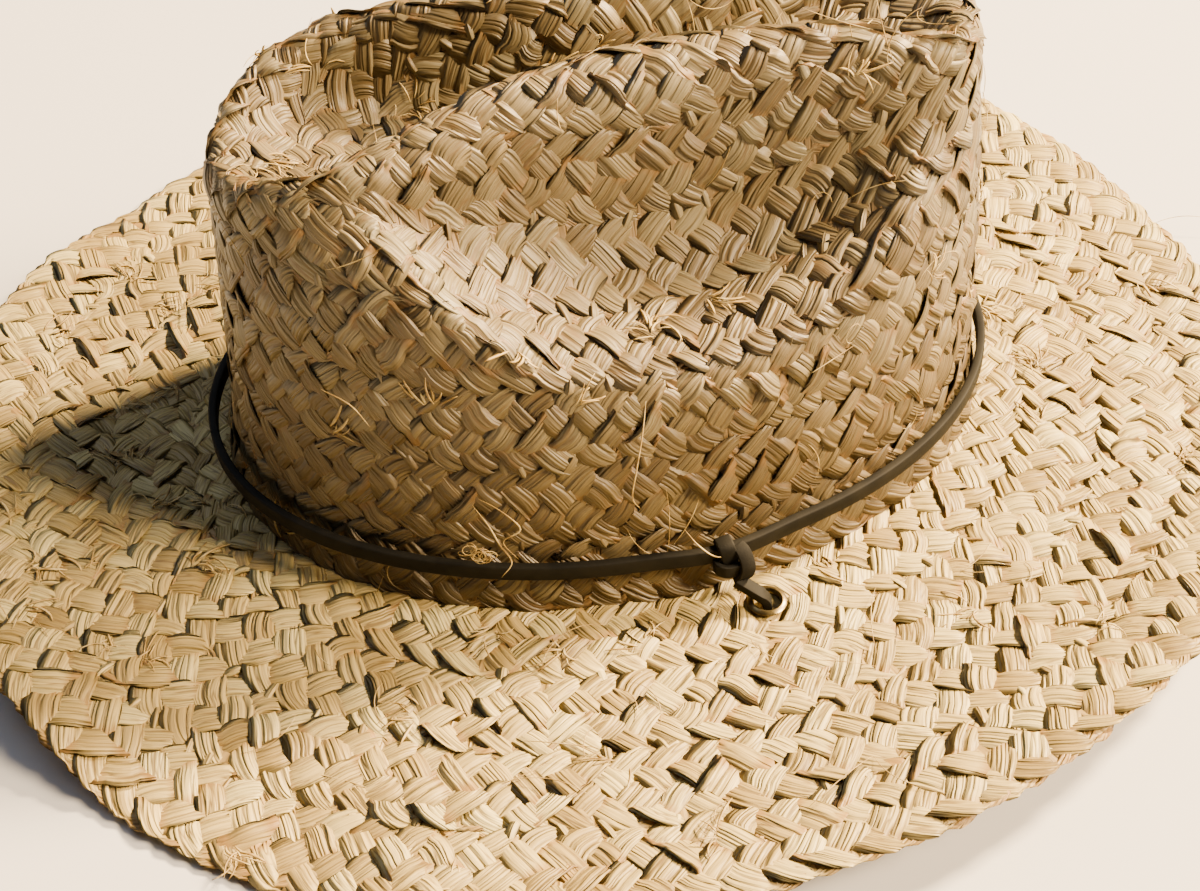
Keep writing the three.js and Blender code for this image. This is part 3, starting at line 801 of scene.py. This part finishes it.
# The hidden straw behind the leaves, and the bits that stand out of the braid.
loose = {
    "packing": 0.35,  # thickness of the hidden straw
    "packingTurn": 1.7,  # millimetres in a degree, round the hat
    "packingAngleStride": 3,  # it takes one in so many of the surface's steps
    "packingRowStride": 6,
    # Leaf tone, strand tone and height; the low height gives the packing part of the painted shade of hidden
    # straw.
    "packingTone": (0.4, 0.5, 0.3),
    "stubShare": 0.45,  # share of the leaf tips along a seam that have a stub of straw over it
    "stubThickness": 0.5,
    "fibreThickness": 0.22,
    "fibreLift": 0.9,  # it starts this high above the middle of the braid
    "leastHeight": 0.5,  # above the surface that the hat stands on
    "stubLift": 0.35,  # it arches up from this far above the middle of the braid, its ends tucked in
    "stubSlant": (0.15, 0.35),  # middle value and spread
    "stubLength": (6.5, 10),
    "stubWidth": (1.6, 3.2),
    # Number on each part, fibres in each, and their length, width and how much they curl.
    "tufts": {
        "crown": 46, "brim": 54, "fibres": (5, 11), "length": (3.5, 10), "width": (0.35, 0.9), "curl": 0.9,
    },
    "hairs": {
        "crown": 46, "brim": 40, "fibres": (1, 2), "length": (8, 26), "width": (0.28, 0.28), "curl": 1.6,
    },
}


# The map and tones that the leaf finish reads: millimetres along and across a strand.
def mapStrands(mesh, along, across, tones):
    corners = np.zeros(len(mesh.loops), np.int32)
    mesh.loops.foreach_get("vertex_index", corners)
    layer = mesh.uv_layers.new(name="strand")
    spread = np.stack([along, across], -1)[corners] / 10
    layer.data.foreach_set("uv", spread.astype(np.float32).ravel())
    tone = mesh.attributes.new("tone", "FLOAT_VECTOR", "POINT")
    tone.data.foreach_set("vector", np.asarray(tones, np.float32).ravel())
    mesh.attributes.new("fold", "FLOAT", "POINT")


def makePacking(name, surface, rows, lift):
    steps = np.arange(0, rows * rowSteps + 1, loose["packingRowStride"])
    angles = gridAngles[:: loose["packingAngleStride"]]
    grid = np.stack(np.meshgrid(angles, steps / rowSteps, indexing="ij"), -1)
    place, normal = surface.at(grid[..., 0], grid[..., 1])
    outside = place + normal * (lift + loose["packing"] / 2)
    inside = place + normal * (lift - loose["packing"] / 2)
    walls = np.concatenate([outside, inside[:, ::-1]], 1)
    if surface is brimSurface:
        walls = makeRoom(walls)
    count, ring = walls.shape[:2]
    index = np.arange(count * ring).reshape(count, ring)
    nextSection = np.roll(index, -1, 0)
    quads = np.stack([index, nextSection, np.roll(nextSection, -1, 1), np.roll(index, -1, 1)], -1)
    piece = newObject(name, walls.reshape(-1, 3), quads.reshape(-1, 4))
    across = np.concatenate([grid[..., 0], grid[..., 0]], 1).ravel() * loose["packingTurn"]
    along = np.concatenate([grid[..., 1], grid[:, ::-1, 1]], 1).ravel() * braid["width"]
    mapStrands(piece.data, along, across, np.tile(loose["packingTone"], (len(along), 1)))
    return piece


# Flat fibres that follow routes, pointed at both ends. Each route is a run of points.
def makeFibres(name, routes, ways, widths, thickness):
    allPoints, allFaces, allUv, allTones, offset = [], [], [], [], 0
    for route, way, width in zip(routes, ways, widths):
        count = len(route)
        tangent = unit(np.gradient(route, axis=0))
        side = unit(np.cross(way, tangent))
        top = np.cross(tangent, side)
        taper = np.sin(np.pi * (np.arange(count) + 0.35) / (count - 0.3)) ** 0.6
        across = side * (taper * width / 2)[:, None]
        high = top * (taper * thickness / 2)[:, None]
        ring = np.stack([route - across, route + high, route + across, route - high], 1)
        index = offset + np.arange(count * 4).reshape(count, 4)
        nextSide = np.roll(index, -1, 1)
        quads = np.stack([index[:-1], nextSide[:-1], nextSide[1:], index[1:]], -1)
        allFaces += [*quads.reshape(-1, 4), index[0][::-1], index[-1]]
        allPoints.append(ring.reshape(-1, 3))
        travelled = np.arange(count) * np.linalg.norm(route[-1] - route[0]) / count
        sideways = taper[:, None] * width / 2 * np.array([-1, 0, 1, 0])
        spread = np.stack([np.broadcast_to(travelled[:, None], sideways.shape), sideways], -1)
        allUv.append((spread + random.uniform(0, 900, 2)).reshape(-1, 2))
        tone = [np.clip(random.normal(0.55, 0.25), 0, 1), random.uniform(0, 1), 1]
        allTones.append(np.tile(tone, (count * 4, 1)))
        offset += count * 4
    piece = newObject(name, np.concatenate(allPoints), allFaces)
    mapStrands(piece.data, *np.concatenate(allUv).T, np.concatenate(allTones))
    return piece


# Stubs of straw that lie over the seams, between the tips of the leaves.
def seamStubs(surface, seams, pitch, lift):
    routes, ways, widths = [], [], []
    for seam in seams:
        fine = np.linspace(0, 360, 721)
        length = travel(surface.at(fine, np.full(len(fine), float(seam)))[0])
        for spot in np.arange(0, length[-1], pitch):
            if random.random() > loose["stubShare"]:
                continue
            reach = random.uniform(*loose["stubLength"]) / 2
            slant = random.normal(*loose["stubSlant"])
            t = np.linspace(-1, 1, 6)
            spots = spot + random.normal(0, pitch * 0.2) + slant * reach * t
            angles = np.interp(np.mod(spots, length[-1]), length, fine)
            place, normal = surface.at(angles, seam + t * reach / braid["width"])
            arch = random.uniform(0.3, 0.8) * (1 - t**2) - 1.3 * t**4
            routes.append(place + normal * (lift + loose["stubLift"] + arch)[:, None])
            ways.append(normal)
            widths.append(random.uniform(*loose["stubWidth"]))
    return routes, ways, widths


# Tufts of torn fibre at the ends of worn leaves, or single fine hairs of raffia.
def tornFibres(kind, part, surface, rows, lift):
    routes, ways, widths = [], [], []
    for _ in range(kind[part]):
        angle, row = random.uniform(0, 360), random.uniform(0.15, rows - 0.1)
        heading, lean = random.uniform(0, 2 * np.pi), random.uniform(0.1, 0.5)
        fewest, most = kind["fibres"]
        for _ in range(random.integers(fewest, most + 1)):
            nearby = angle + random.normal(0, 0.5), row + random.normal(0, 0.05)
            places, rises = surface.at(*np.array([nearby, (angle + 1, row)]).T)
            spot, rise = places[0], rises[0]
            east = unit(places[1] - spot)
            north = np.cross(rise, east)
            turn = heading + random.normal(0, 0.5)
            length = random.uniform(*kind["length"])
            t = np.linspace(0, 1, 6 if length < 12 else 11)
            bend = turn + kind["curl"] * random.normal(0, 1) * t
            step = length / (len(t) - 1)
            slope = random.normal(lean, 0.12) * (1 - 1.6 * t)
            flat = np.cos(bend)[:, None] * east + np.sin(bend)[:, None] * north
            hops = flat * np.cos(slope)[:, None] + rise * np.sin(slope)[:, None]
            route = spot + rise * (lift + loose["fibreLift"]) + np.cumsum(hops * step, 0)
            route[:, 2] = np.maximum(route[:, 2], loose["leastHeight"])
            routes.append(route)
            ways.append(np.broadcast_to(rise + 0.3 * random.normal(0, 1, 3), route.shape))
            widths.append(random.uniform(*kind["width"]))
    return routes, ways, widths


def makeLooseStraw(part, surface, rows, pitch, lift):
    stubs = seamStubs(surface, range(1, rows), pitch, lift)
    stubPiece = makeFibres(part + "_seam_stubs", *stubs, loose["stubThickness"])
    tufts = tornFibres(loose["tufts"], part, surface, rows, lift)
    hairs = tornFibres(loose["hairs"], part, surface, rows, lift)
    torn = [some + more for some, more in zip(tufts, hairs)]
    return stubPiece, makeFibres(part + "_torn_fibres", *torn, loose["fibreThickness"])


# A few long loose fibres, each from one place on the crown's wall to another, standing off it.
strays = {
    "thickness": 0.3,
    "facing": (0.3, -0.8, 0.5),  # the way their flat side looks
    # (angle, height, stand-off) along each, then its width
    "routes": [
        ([(87.5, 69, 2), (86.5, 62, 4.5), (85.3, 52, 5), (84.6, 42, 3.5), (85.6, 38, 2.5)], 0.5),
        ([(91.5, 29, 2), (93, 25.5, 5), (95, 22.5, 7), (97.5, 21.5, 7)], 0.4),
        ([(62, 41, 2), (64.5, 37, 4.5), (66, 32, 5.5), (67.5, 27, 6), (66, 23, 7)], 0.5),
        ([(63, 43, 2), (66.5, 41, 4), (69, 36.5, 5), (66.5, 33, 5.5), (68.5, 28, 6)], 0.45),
        ([(47, 60, 2), (45, 68, 5), (41, 72, 7)], 0.35),
    ],
    "curl": {
        "angle": 62.5, "height": 29, "standOff": 6, "turns": 3, "radius": 2.6, "count": 4, "width": 0.35,
    },
}


def makeStrays():
    routes, ways, widths = [], [], []
    for places, width in strays["routes"]:
        walls = [wallPoint(angle, height) + (standOff,) for angle, height, standOff in places]
        routes.append(smoothRoute([wall + outward * standOff for wall, outward, standOff in walls], 6))
        ways.append(np.broadcast_to(strays["facing"], routes[-1].shape))
        widths.append(width)
    curl = strays["curl"]
    wall, outward = wallPoint(curl["angle"], curl["height"])
    up = np.array([0, 0, 1.0])
    level = np.cross(outward, up)
    for _ in range(curl["count"]):
        t = np.linspace(0, 1, 40)[:, None]
        turn = random.uniform(0, 6) + t * 2 * np.pi * curl["turns"]
        size = curl["radius"] * (0.5 + 0.5 * t) * random.uniform(0.7, 1.2)
        drift = random.uniform(-3, 3) * t + random.normal(0, 1)
        rise = random.uniform(-2, 5) * (1 - t)
        standOff = curl["standOff"] + 0.8 * np.sin(turn * 0.7)
        acrossWall = (drift + size * np.cos(turn)) * level + (rise + size * np.sin(turn) * 0.8) * up
        routes.append(wall + acrossWall + standOff * outward)
        ways.append(np.broadcast_to(outward, routes[-1].shape))
        widths.append(curl["width"])
    return makeFibres("crown_stray_fibres", routes, ways, widths, strays["thickness"])


crownStrays = makeStrays()
crownPacking = makePacking("crown_inner_straw", crownSurface, braid["crownRows"], braid["crownLift"])
brimPacking = makePacking("brim_inner_straw", brimSurface, braid["brimRows"], 0)
crownStubs, crownTorn = makeLooseStraw(
    "crown", crownSurface, braid["crownRows"], braid["crownPitch"], braid["crownLift"]
)
brimStubs, brimTorn = makeLooseStraw("brim", brimSurface, braid["brimRows"], braid["brimPitch"], 0)
print("loose straw laid")


# Colours are given as sRGB and used as linear light.
def linear(code):
    parts = [int(code[i : i + 2], 16) / 255 for i in (1, 3, 5)]
    return (*(c / 12.92 if c <= 0.04045 else ((c + 0.055) / 1.055) ** 2.4 for c in parts), 1)


# Adds a node with its links, its settings and, on a colour ramp, its stops.
def addNode(material, kind, inputs={}, stops=(), **settings):
    node = material.node_tree.nodes.new("ShaderNode" + kind)
    for name, value in settings.items():
        setattr(node, name, value)
    for place, _ in stops[1:-1]:
        node.color_ramp.elements.new(place)
    for number, (place, colour) in enumerate(stops):
        node.color_ramp.elements[number].position = place
        node.color_ramp.elements[number].color = linear(colour)
    for name, value in inputs.items():
        if isinstance(value, bpy.types.NodeSocket):
            material.node_tree.links.new(value, node.inputs[name])
        else:
            node.inputs[name].default_value = value
    return node


def newMaterial(name):
    material = bpy.data.materials.new(name)
    material.use_nodes = True
    material.node_tree.nodes.clear()
    return material


def finishMaterial(material, inputs):
    shader = addNode(material, "BsdfPrincipled", inputs)
    addNode(material, "OutputMaterial", {"Surface": shader.outputs[0]})
    return material


# Dried raffia palm leaf: a matt straw with a faint shine, painted shade as dark lines where it is folded
# lengthways and in its folds, and fine fibres between them.
straws = {
    "tones": [(0.2, "#726034"), (0.42, "#907E4B"), (0.6, "#A5955F"), (0.85, "#B6AB75")],
    # Painted shade: the dark colour of the crease lines and fold dips.
    "foldShade": "#503A19",
    # Painted shade: the darker colour that straw going under its neighbours is mixed towards.
    "hidden": "#7E5E2E",
    "foldSpacing": 2.0,  # millimetres
    "fibreSpacing": 0.42,
    "patchSize": 17,
    "crownPaintedShade": (0.38, 0.38, 0.47),  # painted shade: the crown's straw colours are the brim's times this, darker as if in shade
    "crownFootShade": 0.22,  # painted shade: the foot of the crown is darker still by this much
    "footShadeHeights": (0.03, 0.085),  # metres, where that painted shade starts to fade and where it ends
}


def makeRaffia(name, paintedShade, shaded):
    material = newMaterial(name)
    strand = addNode(material, "UVMap", uv_map="strand")
    tone = addNode(material, "Attribute", attribute_name="tone")
    dips = addNode(material, "Attribute", attribute_name="fold")
    parts = addNode(material, "SeparateXYZ", {0: tone.outputs["Vector"]})

    noises = []
    for spacing, stretch, detail in ((straws["fibreSpacing"], 22, 2), (straws["foldSpacing"], 16, 1)):
        scale = (10 / spacing / stretch, 10 / spacing, 1)
        place = addNode(material, "Mapping", {0: strand.outputs[0], "Scale": scale})
        inputs = {"Vector": place.outputs[0], "Scale": 1, "Detail": detail}
        noises.append(addNode(material, "TexNoise", inputs, noise_dimensions="2D"))
    fibres, folds = noises
    body = addNode(material, "TexCoord")
    patchScale = 1000 / straws["patchSize"]
    patches = addNode(
        material, "TexNoise",
        {"Vector": body.outputs["Object"], "Scale": patchScale, "Detail": 2, "Roughness": 0.6},
    )
    # A leaf's tone comes from the leaf, its strand, the patch it lies in and its height on the hat, where
    # painted shade darkens the crown towards its foot.
    mixed = addNode(material, "Math", {0: parts.outputs["X"], 1: 0.4, 2: 0.05}, operation="MULTIPLY_ADD")
    for share, part in ((0.15, parts.outputs["Y"]), (0.45, patches.outputs[0])):
        mixed = addNode(material, "Math", {0: part, 1: share, 2: mixed.outputs[0]}, operation="MULTIPLY_ADD")
    # Painted shade: the tone is lowered towards the foot of the crown.
    height = addNode(material, "SeparateXYZ", {0: body.outputs["Object"]})
    dark, unshadedHeight = straws["footShadeHeights"]
    darker = addNode(material, "MapRange", {0: height.outputs["Z"], 1: dark, 2: unshadedHeight, 3: -shaded, 4: 0.0})
    mixed = addNode(material, "Math", {0: mixed.outputs[0], 1: darker.outputs[0]})
    tones = addNode(material, "ValToRGB", {0: mixed.outputs[0]}, straws["tones"])
    # Painted shade: on the crown's copy the straw colours are darkened by this factor.
    for stop in tones.color_ramp.elements:
        stop.color = (*(part * k for part, k in zip(stop.color, paintedShade)), 1)
    # The painted shade under the strands is darkened by half the crown's painted shade as well.
    hidden = [part * (1 + k) / 2 for part, k in zip(linear(straws["hidden"]), (*paintedShade, 1))]
    grain = addNode(material, "MapRange", {0: fibres.outputs[0], 1: 0.3, 2: 0.7, 3: 0.8, 4: 1.12})
    grained = addNode(
        material, "MixRGB", {0: 1.0, 1: tones.outputs[0], 2: grain.outputs[0]}, blend_type="MULTIPLY"
    )
    # Painted shade: the noise-drawn crease lines and the modelled fold dips are mixed towards the dark fold
    # colour.
    offMiddle = addNode(material, "Math", {0: folds.outputs[0], 1: 0.5}, operation="SUBTRACT")
    crease = addNode(material, "Math", {0: offMiddle.outputs[0]}, operation="ABSOLUTE")
    line = addNode(material, "MapRange", {0: crease.outputs[0], 1: 0.0, 2: 0.03, 3: 0.7, 4: 0.0})
    dipShade = addNode(material, "Math", {0: dips.outputs["Fac"], 1: 0.8}, operation="MULTIPLY")
    darkest = addNode(material, "Math", {0: line.outputs[0], 1: dipShade.outputs[0]}, operation="MAXIMUM")
    lined = addNode(
        material, "MixRGB", {0: darkest.outputs[0], 1: grained.outputs[0], 2: linear(straws["foldShade"])}
    )
    # Painted shade: where a strand goes under, and on the packing, the colour is mixed towards the darker
    # hidden colour.
    deep = addNode(material, "MapRange", {0: parts.outputs["Z"], 1: 0.05, 2: 0.6, 3: 0.8, 4: 0.0})
    underShaded = addNode(material, "MixRGB", {0: deep.outputs[0], 1: lined.outputs[0], 2: hidden})
    pillow = addNode(
        material, "MapRange", {0: crease.outputs[0], 1: 0.0, 2: 0.16}, interpolation_type="SMOOTHSTEP"
    )
    relief = addNode(
        material, "Math", {0: fibres.outputs[0], 1: 0.35, 2: pillow.outputs[0]}, operation="MULTIPLY_ADD"
    )
    bump = addNode(material, "Bump", {"Strength": 0.8, "Distance": 0.0004, "Height": relief.outputs[0]})
    return finishMaterial(
        material, {"Base Color": underShaded.outputs[0], "Roughness": 0.5, "IOR": 1.45, "Normal": bump.outputs[0]}
    )


# Torn raffia fibre: thinner than the leaf, so it looks more golden and lets some light on.
def makeTornRaffia():
    material = newMaterial("torn raffia fibre")
    body = addNode(material, "TexCoord")
    mottle = addNode(material, "TexNoise", {"Vector": body.outputs["Object"], "Scale": 260, "Detail": 1})
    stops = [(0.32, "#786032"), (0.5, "#9E864E"), (0.68, "#B5A472")]
    tones = addNode(material, "ValToRGB", {0: mottle.outputs[0]}, stops)
    return finishMaterial(material, {"Base Color": tones.outputs[0], "Roughness": 0.5, "IOR": 1.45})


# Smooth vegetable-tanned lace, dyed near black: a soft wide shine with fine pores.
def makeGrainLeather():
    material = newMaterial("dyed grain leather")
    body = addNode(material, "TexCoord")
    pores = addNode(material, "TexNoise", {"Vector": body.outputs["Object"], "Scale": 2200, "Detail": 2})
    wear = addNode(material, "TexNoise", {"Vector": body.outputs["Object"], "Scale": 140, "Detail": 3})
    tones = addNode(material, "ValToRGB", {0: wear.outputs[0]}, [(0.35, "#0A0A07"), (0.65, "#15140F")])
    bump = addNode(material, "Bump", {"Strength": 0.35, "Distance": 0.0001, "Height": pores.outputs[0]})
    inputs = {"Base Color": tones.outputs[0], "Roughness": 0.7, "Specular IOR Level": 0.15}
    return finishMaterial(material, {**inputs, "Normal": bump.outputs[0]})


# Antiqued brass: a warm grey-gold metal, dull where it has darkened.
def makeOldBrass():
    material = newMaterial("antiqued brass")
    body = addNode(material, "TexCoord")
    stain = addNode(material, "TexNoise", {"Vector": body.outputs["Object"], "Scale": 420, "Detail": 3})
    tones = addNode(material, "ValToRGB", {0: stain.outputs[0]}, [(0.35, "#4B412B"), (0.6, "#8B7C55")])
    rough = addNode(material, "MapRange", {0: stain.outputs[0], 1: 0.3, 2: 0.7, 3: 0.45, 4: 0.25})
    return finishMaterial(
        material, {"Base Color": tones.outputs[0], "Metallic": 1.0, "Roughness": rough.outputs[0]}
    )


# Painted shade: the crown's straw is a darker copy of the brim's, darkest near the band, as if in shade.
shadedCrownRaffia = makeRaffia("dried raffia leaf, handled", straws["crownPaintedShade"], straws["crownFootShade"])
brimRaffia = makeRaffia("dried raffia leaf", (1, 1, 1), 0.0)
tornRaffia = makeTornRaffia()
leather, brass = makeGrainLeather(), makeOldBrass()


def dress(pieces, node, finish):
    for piece in pieces:
        piece.data.materials.append(finish)
        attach(piece, "root")
        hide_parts(node)


dress([*crownStraw, crownPacking, crownStubs], "crown", shadedCrownRaffia)
dress([*brimStraw, brimPacking, brimStubs], "brim", brimRaffia)
dress([crownTorn, crownStrays], "crown", tornRaffia)
dress([brimTorn], "brim", tornRaffia)
dress([bandLace], "band_lace", leather)
dress([chinStrap], "chin_strap", leather)
for side, label in sides.items():
    dress([knots[side]], "knot_" + label, leather)
    dress([eyelets[side]], "eyelet_" + label, brass)
print("finishes made")


# A pale paper floor, two warm keys behind the back of the hat, and a weak cool fill.
studio = {
    "floor": "#B9BBBE",
    "floorSize": 6,
    "floorHeight": -0.0005,  # just clear of the hat
    "air": "#ECF1FF",
    "airStrength": 0.05,
    "aim": (0, 0, 0.04),  # the lights point here
    # Each light's place and size in metres, its watts and its colour.
    "key": ((2.55, 0.83, 2.02), 0.5, 1150, "#FFDAA6"),
    "second key": ((2.46, -1.17, 2.0), 1.1, 615, "#FFDDB0"),
    "fill": ((-0.4, 0.6, 1.2), 1.2, 7, "#ECF1FF"),
}


def makeFloor():
    bpy.ops.mesh.primitive_plane_add(size=studio["floorSize"], location=(0, 0, studio["floorHeight"]))
    floor = bpy.context.object
    floor.name = "floor"
    paper = newMaterial("pale matt paper")
    finishMaterial(paper, {"Base Color": linear(studio["floor"]), "Roughness": 0.9})
    floor.data.materials.append(paper)
    bpy.ops.object.transform_apply(location=True)


def makeLight(name, place, size, power, colour):
    lamp = bpy.data.lights.new(name, "AREA")
    lamp.shape = "SQUARE"
    lamp.size, lamp.energy, lamp.color = size, power, linear(colour)[:3]
    light = bpy.data.objects.new(name, lamp)
    light.location = place
    back = Vector(place) - Vector(studio["aim"])
    light.rotation_euler = back.to_track_quat("Z", "Y").to_euler()
    bpy.context.scene.collection.objects.link(light)


makeFloor()
for name in ("key", "second key", "fill"):
    makeLight(name, *studio[name])
world = bpy.data.worlds.new("studio air")
world.use_nodes = True
world.node_tree.nodes["Background"].inputs[0].default_value = linear(studio["air"])
world.node_tree.nodes["Background"].inputs[1].default_value = studio["airStrength"]
bpy.context.scene.world = world
print("studio lit")
